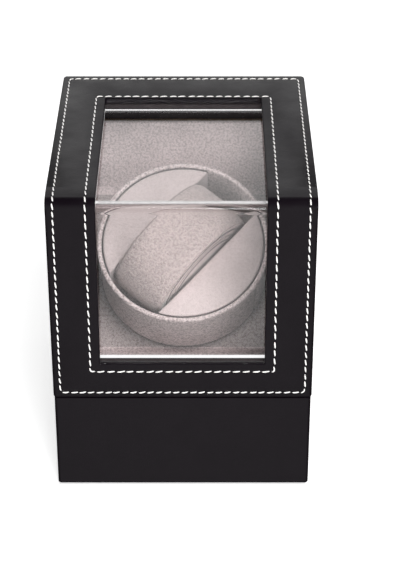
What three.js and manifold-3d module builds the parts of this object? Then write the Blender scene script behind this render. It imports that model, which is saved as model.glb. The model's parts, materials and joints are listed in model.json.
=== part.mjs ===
// Watch winder box: a leatherette-covered case, with a hinged, windowed lid over a geared, tilted drum.
// Millimetres, +Z up, front towards -Y. The origin is the middle of the footprint, on the resting surface.
import * as THREE from 'three';
import { mergeVertices } from 'three/addons/utils/BufferGeometryUtils.js';
import Module from 'manifold-3d';

const wasm = await Module();
wasm.setup();

// ---------------------------------------------------------------------------------- driving dimensions

// Case: outside sizes of the base and the lid, with the leatherette on.
const LID = { halfWidth: 62.5, front: -72, back: 68, bottom: 53.4, top: 161 };
const BASE = { halfWidth: 62.1, front: -71.8, back: 68, bottom: 2.1, top: 53 };
const WRAP = 0.8; // leatherette thickness
const GAP = 0.3; // clearance left between pieces that touch
const SKIN = 1.0; // leatherette plus its glue line
const WALL = 6.0; // wall of wood and leatherette together
const CREASE_RADIUS = 4.5; // front top edge of the lid
const EDGE_RADIUS = 2.0; // every other outer edge
const EDGE_STEPS = 4;
const MIN_EDGE = 0.5; // an inset edge is never sharper than this
const CLEAR = 10; // how far a cutter runs past what it cuts
const BOARD = 3; // thickness of the inner boards

// Window: one opening that runs over the front top edge, glazed with one bent sheet.
const WINDOW = { halfWidth: 39.4, back: 39.1, bottom: 72.4 };
const WINDOW_LIP_DEPTH = 3.4; // how far the leatherette turns into the opening
const PANE = { inset: 6.3, thickness: 2, bend: 5, overlap: 0.4 };
const RETAINER_WIDTH = 9;

// Feet and the boards of the base.
const FOOT = { radius: 6, height: 1.8, x: 50, front: -58, back: 54 };
const BOTTOM_BOARD = { bottom: 3.2, top: 6.2 };

// Drum: the cup's rim centre, and how far its axis leans from the vertical towards the front.
const DRUM_CENTRE = new THREE.Vector3(0, -2, 101);
const DRUM_LEAN = THREE.MathUtils.degToRad(35);
const CUP = { rim: 43.6, back: 42.6, inner: 41.2, depth: 34.3, floor: 2.5 };
const SLOT_ANGLE = THREE.MathUtils.degToRad(48.5); // the slot's direction across the rim, from +X
const SLOT_HALF_WIDTH = 16.3;
const HUB = { radius: 9, thickness: 1.5 };
const DRUM_SCREW = { hole: 1.5, shank: 1.1, thread: 1.4, head: 3.6, headHeight: 0.8, tip: -40.8 };
const PAD = { radius: 40.9, top: -0.4, bottom: -31.4 };
const PILLOW = { along: 33.9, depth: 22.8, centreAlong: -2.5, centreZ: -7, halfWidth: 15, bevel: 1.6 };
const ROUND_STEPS = { drum: 48, turned: 24, rod: 20, small: 12, gear: 10, pad: 20, pillow: 32 };

// Console: the velvet-covered ledge, slope and back panel that hide the works.
const VELVET = 0.8;
const LEDGE_TOP = 46.5;
const SLOPE_LEVEL = -36.6; // velvet face of the slope, along the drum axis
const BACK_VELVET_FACE = 57.6;
const CONSOLE_TOP = 138;
const CONSOLE_HALF_WIDTH = 55.3;
const CHEEK = { inner: 51.5, outer: 54.5 };
const SLOPE_BOARD = { low: -40, high: 44.4 }; // its ends, up the slope from the drum axis
const BACK_BOARD_FOOT = 72;
const LEDGE_BOARD_SETBACK = 3; // from the slope board
const BACK_BOARD_REAR = 61.2;
const SHAFT_CLEARANCE = { velvet: 5, board: 4.5 }; // holes round the drum shaft

// Gear train, in the drum's frame: z runs down the drum axis.
const GEAR_MODULE = 0.6;
const ADDENDUM = 0.8 * GEAR_MODULE; // stub teeth
const DEDENDUM = 1.25 * GEAR_MODULE;
const WHEEL_TEETH = 40;
const PINION_TEETH = 10;
const PRESSURE_ANGLE = THREE.MathUtils.degToRad(20);
const TOOTH_SHARE = 0.38; // tooth thickness over pitch, which leaves the train free running
const GEAR_CENTRES = (GEAR_MODULE * (WHEEL_TEETH + PINION_TEETH)) / 2;
const OUTPUT_LEVEL = { bottom: -49.2, top: -45.2 };
const IDLER_LEVEL = { bottom: -54.4, top: -50.4 };
const UPPER_PLATE = { bottom: -44, top: -42.5 };
const LOWER_PLATE = { bottom: -56.8, top: -55.3 };
const PLATE_OUTLINE = { left: -17, right: 29, low: -28, high: 15 };
const SPACER = { radius: 2.5, inset: 3.5 };
const SHAFT_RADIUS = 2;
const SHAFT_TOP = -34.8;
const AXLE = { radius: 1, bore: 1.3 };
const BUSHING = { sleeve: 4.2, flange: 7 };
const MOTOR = { radius: 10, wall: 0.9, nose: 1.6, top: -57.1, bottom: -76.6, cap: 1.7 };
const ARMATURE = { radius: 7.5, bottom: -73.8, top: -60.8 };

// Rear fittings: two butt hinges on the seam, the supply jack and the mode knob.
const HINGE = { x: 38, y: 70.1, z: 53.2, knuckle: 1.9, halfWidth: 8, plateFace: 68.3, plate: 1 };
const HINGE_MIDDLE = 2.4; // half the width of the lid leaf's knuckle
const HINGE_PIN = 0.8;
const LEAF_LENGTH = 12.5;
const LEAF_SCREW = { spacing: 5, lidZ: 61, baseZ: 45.5, shank: 1, hole: 1.3, tip: 63 };
const LEAF_SCREW_HEAD = { radius: 1.8, edge: 0.4, height: 0.8 };
const JACK = { x: 28, z: 22, body: 4, hole: 4.3, flange: 5.5, flangeHeight: 1.5, reach: 8 };
const JACK_SOCKET = { radius: 2.75, depth: 9, pin: 1, pinSet: 1 };
const JACK_NUT = { radius: 6.5, height: 2.2 };
const KNOB = { x: -28, z: 22, radius: 8, shaft: 2.8, hole: 3.3, dial: 1.8, edge: 0.4, reach: 4.5 };
const KNOB_GRIP = { halfLength: 7, halfWidth: 1.4, root: 1 };
const MODE_SWITCH = { half: 6, depth: 8, well: 5 };
const CIRCUIT_BOARD = { halfWidth: 14, y: 52, thickness: 1.6, bottom: 10, top: 34 };

// ------------------------------------------------------------------------------------------- materials

const finish = (color, roughness, metalness = 0) =>
  new THREE.MeshStandardMaterial({ color, roughness, metalness });

const LEATHERETTE = finish(0x262427, 0.45);
const BLACK_BOARD = finish(0x161517, 0.7);
const BARE_BOARD = finish(0x8a7258, 0.85);
const CREAM_VELVET = finish(0xd2c3bf, 0.95);
const BLACK_FELT = finish(0x1b1a1b, 0.98);
const RUBBER = finish(0x1a1a1a, 0.8);
const ACRYLIC = finish(0xf2f4f4, 0.05);
const NICKEL = finish(0xb9b7b2, 0.3, 1);
const STEEL = finish(0x9b9c9e, 0.35, 1);
const GEAR_PLASTIC = finish(0xe6e2d6, 0.5);
const BLACK_PLASTIC = finish(0x202022, 0.5);
const BRASS = finish(0xb08d4a, 0.35, 1);
const CIRCUIT_GREEN = finish(0x1f5a36, 0.5);

// --------------------------------------------------------------------------------------------- helpers

// A three.js geometry as a manifold solid.
function solid(geometry) {
  const bare = geometry.clone();
  bare.deleteAttribute('normal');
  bare.deleteAttribute('uv');
  const merged = mergeVertices(bare, 1e-4);
  const mesh = new wasm.Mesh({
    numProp: 3,
    vertProperties: new Float32Array(merged.attributes.position.array),
    triVerts: new Uint32Array(merged.index.array),
  });
  return new wasm.Manifold(mesh);
}

// A manifold solid as a three.js geometry.
function shell(manifold) {
  const mesh = manifold.getMesh();
  const geometry = new THREE.BufferGeometry();
  geometry.setAttribute('position', new THREE.BufferAttribute(mesh.vertProperties, 3));
  geometry.setIndex(new THREE.BufferAttribute(mesh.triVerts, 1));
  return geometry;
}

// A box between two corners.
function block(low, high) {
  const size = high.map((value, axis) => value - low[axis]);
  const middle = high.map((value, axis) => (value + low[axis]) / 2);
  return new THREE.BoxGeometry(...size).translate(...middle);
}

// An outline in the XY plane, extruded from one height to another.
function prism(shape, bottom, top, curveSegments = EDGE_STEPS) {
  const options = { depth: top - bottom, bevelEnabled: false, curveSegments };
  return new THREE.ExtrudeGeometry(shape, options).translate(0, 0, bottom);
}

// An outline drawn in the YZ plane, extruded from one X to another.
function sidePrism(shape, left, right, curveSegments = EDGE_STEPS) {
  const turn = new THREE.Matrix4().makeBasis(
    new THREE.Vector3(0, 1, 0),
    new THREE.Vector3(0, 0, 1),
    new THREE.Vector3(1, 0, 0),
  );
  return prism(shape, left, right, curveSegments).applyMatrix4(turn);
}

// An outline from corner points, each with an optional round: [x, y] or [x, y, radius].
function outline(corners) {
  const shape = new THREE.Shape();
  const count = corners.length;
  corners.forEach(([x, y, radius = 0], index) => {
    const corner = new THREE.Vector2(x, y);
    const before = new THREE.Vector2(...corners[(index + count - 1) % count]);
    const after = new THREE.Vector2(...corners[(index + 1) % count]);
    const start = corner.clone().add(before.sub(corner).setLength(radius));
    const end = corner.clone().add(after.sub(corner).setLength(radius));
    if (index === 0) shape.moveTo(start.x, start.y);
    else shape.lineTo(start.x, start.y);
    if (radius > 0) shape.quadraticCurveTo(x, y, end.x, end.y);
  });
  shape.closePath();
  return shape;
}

// A solid of revolution about Z. Its profile of [radius, z] points ends on the axis, or is closed.
function turned(profile, segments = ROUND_STEPS.turned) {
  const closed = profile[0][0] > 0 ? [...profile, profile[0]] : profile;
  const points = closed.map(([radius, z]) => new THREE.Vector2(radius, z));
  return new THREE.LatheGeometry(points, segments).rotateX(Math.PI / 2);
}

// A plain ring or rod between two heights.
function rod(radius, bottom, top, bore = 0, segments = ROUND_STEPS.rod) {
  return turned([[bore, bottom], [radius, bottom], [radius, top], [bore, top]], segments);
}

// Anything made about Z, laid so that its axis points backwards, through the given X and Z.
function pointBack(geometry, x, z) {
  return geometry.rotateX(-Math.PI / 2).translate(x, 0, z);
}

// Turn a list of cutters out of a solid.
function cut(body, cutters) {
  return cutters.reduce((left, cutter) => left.subtract(solid(cutter)), body);
}

const model = new THREE.Group();
const tilted = new THREE.Group();
tilted.position.copy(DRUM_CENTRE);
tilted.rotation.x = DRUM_LEAN;
tilted.updateMatrix();
model.add(tilted);

function add(name, geometry, material, group = model) {
  const mesh = new THREE.Mesh(geometry, material);
  mesh.name = name;
  group.add(mesh);
  return mesh;
}

// Height of a plane square to the drum axis, at a given Y, and the other way round.
const slopeHeight = (y, level) =>
  DRUM_CENTRE.z + (level + Math.sin(DRUM_LEAN) * (y - DRUM_CENTRE.y)) / Math.cos(DRUM_LEAN);
const slopeDepth = (z, level) =>
  DRUM_CENTRE.y + (Math.cos(DRUM_LEAN) * (z - DRUM_CENTRE.z) - level) / Math.sin(DRUM_LEAN);

// -------------------------------------------------------------------------------------- case geometry

// The upright block of a case half, shrunk by an inset on its four sides.
function planBlock(part, inset, bottom, top) {
  const half = part.halfWidth - inset;
  const front = part.front + inset;
  const back = part.back - inset;
  const edge = Math.max(EDGE_RADIUS - inset, MIN_EDGE);
  const plan = outline([
    [-half, front, edge],
    [half, front, edge],
    [half, back, edge],
    [-half, back, edge],
  ]);
  return solid(prism(plan, bottom, top));
}

// The block that the lid fills, shrunk by an inset on its sides and top.
function lidBlock(inset, bottom, crease = Math.max(CREASE_RADIUS - inset, MIN_EDGE)) {
  const front = LID.front + inset;
  const back = LID.back - inset;
  const top = LID.top - inset;
  const half = LID.halfWidth - inset;
  const edge = Math.max(EDGE_RADIUS - inset, MIN_EDGE);
  const side = outline([[front, bottom], [back, bottom], [back, top, edge], [front, top, crease]]);
  return planBlock(LID, inset, bottom, LID.top).intersect(solid(sidePrism(side, -half, half)));
}

// A box that cuts the window out of the lid's front and top, grown by a margin.
function windowCut(margin) {
  const low = [-WINDOW.halfWidth - margin, LID.front - CLEAR, WINDOW.bottom - margin];
  const high = [WINDOW.halfWidth + margin, WINDOW.back + margin, LID.top + CLEAR];
  return solid(block(low, high));
}

// Where the screws of both hinge leaves sit, on the lid or on the base.
function leafScrewPlaces(z) {
  const places = [];
  for (const side of [-1, 1]) {
    for (const offset of [-LEAF_SCREW.spacing, LEAF_SCREW.spacing]) {
      places.push({ x: side * HINGE.x + offset, z });
    }
  }
  return places;
}

// A drill through the back wall.
const rearDrill = (radius, x, z, segments = ROUND_STEPS.rod) =>
  pointBack(rod(radius, LID.back - 2 * WALL, LID.back + CLEAR, 0, segments), x, z);

const screwHoles = (z) =>
  leafScrewPlaces(z).map((place) => rearDrill(LEAF_SCREW.hole, place.x, place.z, ROUND_STEPS.small));

const baseHoles = () => [
  ...screwHoles(LEAF_SCREW.baseZ),
  rearDrill(JACK.hole, JACK.x, JACK.z),
  rearDrill(KNOB.hole, KNOB.x, KNOB.z),
];

// ----------------------------------------------------------------------------------------------- lid

function buildLid() {
  const interior = () => lidBlock(WALL, LID.bottom - CLEAR);
  const holes = () => screwHoles(LEAF_SCREW.lidZ);

  // Leatherette: the outside, the bottom edge, and a lip turned into the window.
  const skin = lidBlock(0, LID.bottom)
    .subtract(lidBlock(WRAP, LID.bottom + WRAP))
    .subtract(interior())
    .subtract(windowCut(0));
  const lip = windowCut(WRAP)
    .subtract(windowCut(0))
    .intersect(lidBlock(0, LID.bottom).subtract(lidBlock(WINDOW_LIP_DEPTH, LID.bottom - CLEAR)));
  add('lid_leatherette', shell(cut(skin.add(lip), holes())), LEATHERETTE);

  const carcass = lidBlock(SKIN, LID.bottom + SKIN).subtract(interior()).subtract(windowCut(SKIN));
  add('lid_carcass', shell(cut(carcass, holes())), BLACK_BOARD);

  // The bent pane and the frame that holds it, both behind the front and top walls.
  const inner = PANE.inset + PANE.thickness;
  const paneLayer = () =>
    lidBlock(PANE.inset, LID.bottom + WALL, PANE.bend).subtract(
      lidBlock(inner, LID.bottom, PANE.bend - PANE.thickness),
    );
  add('window_pane', shell(paneLayer().intersect(windowCut(PANE.overlap))), ACRYLIC);
  const retainer = paneLayer().intersect(windowCut(RETAINER_WIDTH)).subtract(windowCut(PANE.overlap + GAP));
  add('window_retainer', shell(retainer), BLACK_BOARD);
}

// ---------------------------------------------------------------------------------------------- base

function buildBaseCase() {
  const inside = () => planBlock(BASE, WALL, BASE.bottom - CLEAR, BASE.top + CLEAR);

  const wrap = planBlock(BASE, 0, BASE.bottom, BASE.top)
    .subtract(planBlock(BASE, WRAP, BASE.bottom - CLEAR, BASE.top - WRAP))
    .subtract(inside());
  add('base_leatherette', shell(cut(wrap, baseHoles())), LEATHERETTE);

  const carcass = planBlock(BASE, SKIN, BOTTOM_BOARD.bottom, BASE.top - SKIN).subtract(inside());
  add('base_carcass', shell(cut(carcass, baseHoles())), BARE_BOARD);

  const board = planBlock(BASE, WALL + GAP, BOTTOM_BOARD.bottom, BOTTOM_BOARD.top);
  add('bottom_board', shell(board), BARE_BOARD);
  const felt = planBlock(BASE, SKIN, BASE.bottom, BASE.bottom + WRAP);
  add('underside_felt', shell(felt), BLACK_FELT);

  const corners = [
    [-FOOT.x, FOOT.front],
    [FOOT.x, FOOT.front],
    [-FOOT.x, FOOT.back],
    [FOOT.x, FOOT.back],
  ];
  corners.forEach(([x, y], index) => {
    const foot = rod(FOOT.radius, 0, FOOT.height, 0, ROUND_STEPS.turned);
    add(`rubber_foot_${index + 1}`, foot, RUBBER).position.set(x, y, 0);
  });
}

// ------------------------------------------------------------------------------------------- console

function buildConsole() {
  const half = CONSOLE_HALF_WIDTH;
  const front = BASE.front + WALL + GAP;
  const underVelvet = SLOPE_LEVEL - VELVET;
  const boardTop = underVelvet - GAP;
  const boardBottom = boardTop - BOARD;

  // One length of velvet over the ledge, the slope and the back board.
  const velvetBack = BACK_VELVET_FACE + VELVET;
  const sheet = outline([
    [front, LEDGE_TOP - VELVET],
    [slopeDepth(LEDGE_TOP - VELVET, underVelvet), LEDGE_TOP - VELVET],
    [velvetBack, slopeHeight(velvetBack, underVelvet)],
    [velvetBack, CONSOLE_TOP],
    [BACK_VELVET_FACE, CONSOLE_TOP],
    [BACK_VELVET_FACE, slopeHeight(BACK_VELVET_FACE, SLOPE_LEVEL)],
    [slopeDepth(LEDGE_TOP, SLOPE_LEVEL), LEDGE_TOP],
    [front, LEDGE_TOP],
  ]);
  const shaftHole = rod(SHAFT_CLEARANCE.velvet, SLOPE_LEVEL - CLEAR, SLOPE_LEVEL + CLEAR);
  shaftHole.applyMatrix4(tilted.matrix);
  add('console_velvet', shell(cut(solid(sidePrism(sheet, -half, half)), [shaftHole])), CREAM_VELVET);

  const ledgeTop = LEDGE_TOP - VELVET - GAP;
  const ledgeBack = slopeDepth(ledgeTop - BOARD, boardBottom) - LEDGE_BOARD_SETBACK;
  add('ledge_board', block([-half, front, ledgeTop - BOARD], [half, ledgeBack, ledgeTop]), BARE_BOARD);

  const slopeBoard = block([-half, SLOPE_BOARD.low, boardBottom], [half, SLOPE_BOARD.high, boardTop]);
  const boardHole = rod(SHAFT_CLEARANCE.board, boardBottom - CLEAR, boardTop + CLEAR);
  add('slope_board', shell(cut(solid(slopeBoard), [boardHole])), BARE_BOARD, tilted);

  const backFace = velvetBack + GAP;
  const backBoard = block([-half, backFace, BACK_BOARD_FOOT], [half, BACK_BOARD_REAR, CONSOLE_TOP]);
  add('back_board', backBoard, BARE_BOARD);

  // Side cheeks that carry the three boards.
  const cheekFront = front + BOARD;
  const cheekBack = backFace - GAP;
  const cheekTop = ledgeTop - BOARD - GAP;
  const cheekLevel = boardBottom - GAP;
  const cheekFloor = BOTTOM_BOARD.top + GAP;
  const cheek = outline([
    [cheekFront, cheekFloor],
    [cheekBack, cheekFloor],
    [cheekBack, slopeHeight(cheekBack, cheekLevel)],
    [slopeDepth(cheekTop, cheekLevel), cheekTop],
    [cheekFront, cheekTop],
  ]);
  add('console_cheek_left', sidePrism(cheek, -CHEEK.outer, -CHEEK.inner), BARE_BOARD);
  add('console_cheek_right', sidePrism(cheek, CHEEK.inner, CHEEK.outer), BARE_BOARD);
}

// ---------------------------------------------------------------------------------------------- drum

function buildDrum() {
  const rimMiddle = (CUP.rim + CUP.inner) / 2;
  const rimRound = (CUP.rim - CUP.inner) / 2;
  const profile = [
    [DRUM_SCREW.hole, -CUP.depth],
    [CUP.back, -CUP.depth],
  ];
  for (let step = 0; step <= EDGE_STEPS; step += 1) {
    const angle = (Math.PI * step) / EDGE_STEPS;
    profile.push([rimMiddle + rimRound * Math.cos(angle), rimRound * (Math.sin(angle) - 1)]);
  }
  profile.push([CUP.inner, CUP.floor - CUP.depth], [DRUM_SCREW.hole, CUP.floor - CUP.depth]);
  add('drum_cup', turned(profile, ROUND_STEPS.drum), CREAM_VELVET, tilted);

  // Two segment pads leave the slot between them.
  const reach = Math.acos(SLOT_HALF_WIDTH / PAD.radius);
  const segment = new THREE.Shape();
  segment.absarc(0, 0, PAD.radius, Math.PI / 2 - reach, Math.PI / 2 + reach, false);
  segment.closePath();
  for (const [name, turn] of [['pad_left', 0], ['pad_right', Math.PI]]) {
    const pad = add(name, prism(segment, PAD.bottom, PAD.top, ROUND_STEPS.pad), CREAM_VELVET, tilted);
    pad.rotation.z = SLOT_ANGLE + turn;
  }

  const oval = new THREE.Shape();
  oval.absellipse(PILLOW.centreAlong, PILLOW.centreZ, PILLOW.along, PILLOW.depth, 0, 2 * Math.PI, false);
  const pillow = new THREE.ExtrudeGeometry(oval, {
    depth: 2 * (PILLOW.halfWidth - PILLOW.bevel),
    bevelThickness: PILLOW.bevel,
    bevelSize: PILLOW.bevel,
    bevelOffset: -PILLOW.bevel,
    bevelSegments: 2,
    curveSegments: ROUND_STEPS.pillow,
  });
  pillow.translate(0, 0, PILLOW.bevel - PILLOW.halfWidth).rotateX(Math.PI / 2);
  add('watch_pillow', pillow, CREAM_VELVET, tilted).rotation.z = SLOT_ANGLE;

  const underCup = -CUP.depth - GAP;
  const hub = rod(HUB.radius, underCup - HUB.thickness, underCup, SHAFT_RADIUS + GAP);
  add('drum_hub', hub, GEAR_PLASTIC, tilted);
  const headSeat = CUP.floor - CUP.depth + GAP;
  const screw = turned([
    [0, DRUM_SCREW.tip],
    [DRUM_SCREW.shank, DRUM_SCREW.tip],
    [DRUM_SCREW.shank, headSeat],
    [DRUM_SCREW.head, headSeat],
    [DRUM_SCREW.head, headSeat + DRUM_SCREW.headHeight],
    [0, headSeat + DRUM_SCREW.headHeight],
  ]);
  add('drum_screw', screw, STEEL, tilted);
}

// ----------------------------------------------------------------------------------------- gear train

// Half the angle that a tooth fills at a radius, on an involute flank.
function toothHalfAngle(radius, teeth) {
  const pitchRadius = (GEAR_MODULE * teeth) / 2;
  const baseRadius = pitchRadius * Math.cos(PRESSURE_ANGLE);
  const involute = (angle) => Math.tan(angle) - angle;
  const here = Math.acos(Math.min(1, baseRadius / Math.max(radius, baseRadius)));
  return (TOOTH_SHARE * Math.PI) / teeth + involute(PRESSURE_ANGLE) - involute(here);
}

// A spur gear's outline with one tooth centred on a heading.
function gearOutline(teeth, heading, bore) {
  const pitchRadius = (GEAR_MODULE * teeth) / 2;
  const root = pitchRadius - DEDENDUM;
  const tip = pitchRadius + ADDENDUM;
  const base = pitchRadius * Math.cos(PRESSURE_ANGLE);
  const radii = teeth > PINION_TEETH ? [root, pitchRadius, tip] : [root, base, pitchRadius, tip];
  const points = [];
  for (let tooth = 0; tooth < teeth; tooth += 1) {
    const middle = heading + (2 * Math.PI * tooth) / teeth;
    const rising = radii.map((radius) => [radius, middle - toothHalfAngle(radius, teeth)]);
    const falling = radii.map((radius) => [radius, middle + toothHalfAngle(radius, teeth)]).reverse();
    points.push(...rising, ...falling);
  }
  const shape = new THREE.Shape(
    points.map(([radius, angle]) => new THREE.Vector2(radius * Math.cos(angle), radius * Math.sin(angle))),
  );
  shape.holes.push(new THREE.Path().absarc(0, 0, bore, 0, 2 * Math.PI, true));
  return shape;
}

function buildDrive() {
  const idlerHeading = THREE.MathUtils.degToRad(-30);
  const motorHeading = THREE.MathUtils.degToRad(-90);
  const backHeading = THREE.MathUtils.degToRad(210);
  const idlerPlace = new THREE.Vector2(GEAR_CENTRES, 0).rotateAround(new THREE.Vector2(), idlerHeading);
  const motorPlace = new THREE.Vector2(GEAR_CENTRES, 0).rotateAround(new THREE.Vector2(), motorHeading);
  const halfPinionTooth = Math.PI / PINION_TEETH;
  const between = { bottom: LOWER_PLATE.top + GAP, top: UPPER_PLATE.bottom - GAP };

  const shaft = turned([
    [0, LOWER_PLATE.bottom + GAP],
    [SHAFT_RADIUS, LOWER_PLATE.bottom + GAP],
    [SHAFT_RADIUS, SHAFT_TOP],
    [DRUM_SCREW.thread, SHAFT_TOP],
    [DRUM_SCREW.thread, DRUM_SCREW.tip - GAP],
    [0, DRUM_SCREW.tip - GAP],
  ]);
  add('output_shaft', shaft, STEEL, tilted);
  const output = gearOutline(WHEEL_TEETH, idlerHeading, SHAFT_RADIUS + GAP);
  const outputGear = prism(output, OUTPUT_LEVEL.bottom, OUTPUT_LEVEL.top, ROUND_STEPS.gear);
  add('output_gear', outputGear, GEAR_PLASTIC, tilted);

  // The idler is one moulding: a wheel driven by the motor, and a pinion that drives the output gear.
  const wheel = gearOutline(WHEEL_TEETH, backHeading, AXLE.bore);
  const pinion = gearOutline(PINION_TEETH, idlerHeading + Math.PI + halfPinionTooth, AXLE.bore);
  const idler = solid(prism(wheel, IDLER_LEVEL.bottom, IDLER_LEVEL.top, ROUND_STEPS.gear)).add(
    solid(prism(pinion, IDLER_LEVEL.top - GAP, OUTPUT_LEVEL.top, ROUND_STEPS.gear)),
  );
  add('idler_gear', shell(idler), GEAR_PLASTIC, tilted).position.set(idlerPlace.x, idlerPlace.y, 0);
  const axle = add('idler_axle', rod(AXLE.radius, between.bottom, between.top), STEEL, tilted);
  axle.position.set(idlerPlace.x, idlerPlace.y, 0);

  const driving = gearOutline(PINION_TEETH, backHeading + Math.PI + halfPinionTooth, AXLE.bore);
  const armature = turned([
    [0, MOTOR.bottom],
    [AXLE.radius, MOTOR.bottom],
    [AXLE.radius, ARMATURE.bottom],
    [ARMATURE.radius, ARMATURE.bottom],
    [ARMATURE.radius, ARMATURE.top],
    [AXLE.radius, ARMATURE.top],
    [AXLE.radius, IDLER_LEVEL.top - GAP],
    [0, IDLER_LEVEL.top - GAP],
  ]);
  const canInner = MOTOR.radius - MOTOR.wall;
  const can = turned([
    [canInner, MOTOR.bottom],
    [MOTOR.radius, MOTOR.bottom],
    [MOTOR.radius, MOTOR.top],
    [MOTOR.nose, MOTOR.top],
    [MOTOR.nose, MOTOR.top - MOTOR.wall],
    [canInner, MOTOR.top - MOTOR.wall],
  ]);
  const capTop = MOTOR.bottom - GAP;
  const motorPieces = [
    ['motor_pinion', prism(driving, IDLER_LEVEL.bottom, IDLER_LEVEL.top, ROUND_STEPS.gear), BRASS],
    ['motor_armature', armature, STEEL],
    ['motor_can', can, STEEL],
    ['motor_end_cap', rod(MOTOR.radius, capTop - MOTOR.cap, capTop), BLACK_PLASTIC],
  ];
  for (const [name, geometry, material] of motorPieces) {
    add(name, geometry, material, tilted).position.set(motorPlace.x, motorPlace.y, 0);
  }

  // Two plates and four spacers hold the train under the slope board.
  const { left, right, low, high } = PLATE_OUTLINE;
  const plate = ({ bottom, top }, drills) =>
    shell(cut(solid(block([left, low, bottom], [right, high, top])), drills));
  const drill = (radius) => rod(radius, LOWER_PLATE.bottom - CLEAR, UPPER_PLATE.top + CLEAR);
  const shaftDrill = drill(SHAFT_RADIUS + GAP);
  const noseDrill = drill(MOTOR.nose).translate(motorPlace.x, motorPlace.y, 0);
  add('gearbox_plate_upper', plate(UPPER_PLATE, [shaftDrill]), STEEL, tilted);
  add('gearbox_plate_lower', plate(LOWER_PLATE, [shaftDrill, noseDrill]), STEEL, tilted);
  const { radius, inset } = SPACER;
  const corners = [
    [left + inset, low + inset],
    [right - inset, low + inset],
    [left + inset, high - inset],
    [right - inset, high - inset],
  ];
  corners.forEach(([x, y], index) => {
    const spacer = rod(radius, between.bottom, between.top, 0, ROUND_STEPS.small);
    add(`gearbox_spacer_${index + 1}`, spacer, BRASS, tilted).position.set(x, y, 0);
  });

  const boardBottom = SLOPE_LEVEL - VELVET - GAP - BOARD;
  const flangeTop = boardBottom - GAP;
  const bushing = turned([
    [SHAFT_RADIUS + GAP, UPPER_PLATE.top + GAP],
    [BUSHING.flange, UPPER_PLATE.top + GAP],
    [BUSHING.flange, flangeTop],
    [BUSHING.sleeve, flangeTop],
    [BUSHING.sleeve, SLOPE_LEVEL - GAP],
    [SHAFT_RADIUS + GAP, SLOPE_LEVEL - GAP],
  ]);
  add('shaft_bushing', bushing, BRASS, tilted);
}

// -------------------------------------------------------------------------------------- rear fittings

function buildHinge(side, name) {
  const { halfWidth, plateFace, plate, knuckle } = HINGE;
  const outerFace = plateFace + plate;
  const alongX = (radius, from, to) =>
    rod(radius, from, to).rotateY(Math.PI / 2).translate(0, HINGE.y, HINGE.z);
  const middle = [-HINGE_MIDDLE, HINGE_MIDDLE];
  const ends = [
    [-halfWidth, -HINGE_MIDDLE - GAP],
    [HINGE_MIDDLE + GAP, halfWidth],
  ];

  // A leaf is a plate, with a web up or down to each of its knuckles.
  const leaf = (plateLow, plateHigh, spans, screwZ) => {
    let body = solid(block([-halfWidth, plateFace, plateLow], [halfWidth, outerFace, plateHigh]));
    const near = plateLow > HINGE.z ? plateLow : plateHigh;
    for (const [from, to] of spans) {
      const webLow = Math.min(near, HINGE.z);
      const webHigh = Math.max(near, HINGE.z);
      const web = block([from, plateFace, webLow], [to, outerFace, webHigh]);
      body = body.add(solid(web)).add(solid(alongX(knuckle, from, to)));
    }
    const bore = alongX(HINGE_PIN + GAP, -halfWidth - CLEAR, halfWidth + CLEAR);
    const drills = [-LEAF_SCREW.spacing, LEAF_SCREW.spacing].map((x) =>
      rearDrill(LEAF_SCREW.hole, x, screwZ, ROUND_STEPS.small),
    );
    return shell(cut(body, [bore, ...drills]));
  };
  const clear = knuckle + GAP;
  const lidLeaf = leaf(HINGE.z + clear, HINGE.z + LEAF_LENGTH, [middle], LEAF_SCREW.lidZ);
  const baseLeaf = leaf(HINGE.z - LEAF_LENGTH, HINGE.z - clear, ends, LEAF_SCREW.baseZ);
  const x = side * HINGE.x;
  add(`hinge_lid_leaf_${name}`, lidLeaf, NICKEL).position.x = x;
  add(`hinge_base_leaf_${name}`, baseLeaf, NICKEL).position.x = x;
  add(`hinge_pin_${name}`, alongX(HINGE_PIN, -halfWidth, halfWidth), NICKEL).position.x = x;
}

function buildHingeScrews() {
  const seat = HINGE.plateFace + HINGE.plate + GAP;
  const profile = [
    [0, LEAF_SCREW.tip],
    [LEAF_SCREW.shank, LEAF_SCREW.tip],
    [LEAF_SCREW.shank, seat],
    [LEAF_SCREW_HEAD.radius, seat],
    [LEAF_SCREW_HEAD.radius, seat + LEAF_SCREW_HEAD.edge],
    [LEAF_SCREW.shank, seat + LEAF_SCREW_HEAD.height],
    [0, seat + LEAF_SCREW_HEAD.height],
  ];
  for (const [half, z] of [['lid', LEAF_SCREW.lidZ], ['base', LEAF_SCREW.baseZ]]) {
    leafScrewPlaces(z).forEach((place, index) => {
      const screw = pointBack(turned(profile, ROUND_STEPS.small), place.x, place.z);
      add(`${half}_hinge_screw_${index + 1}`, screw, NICKEL);
    });
  }
}

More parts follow.
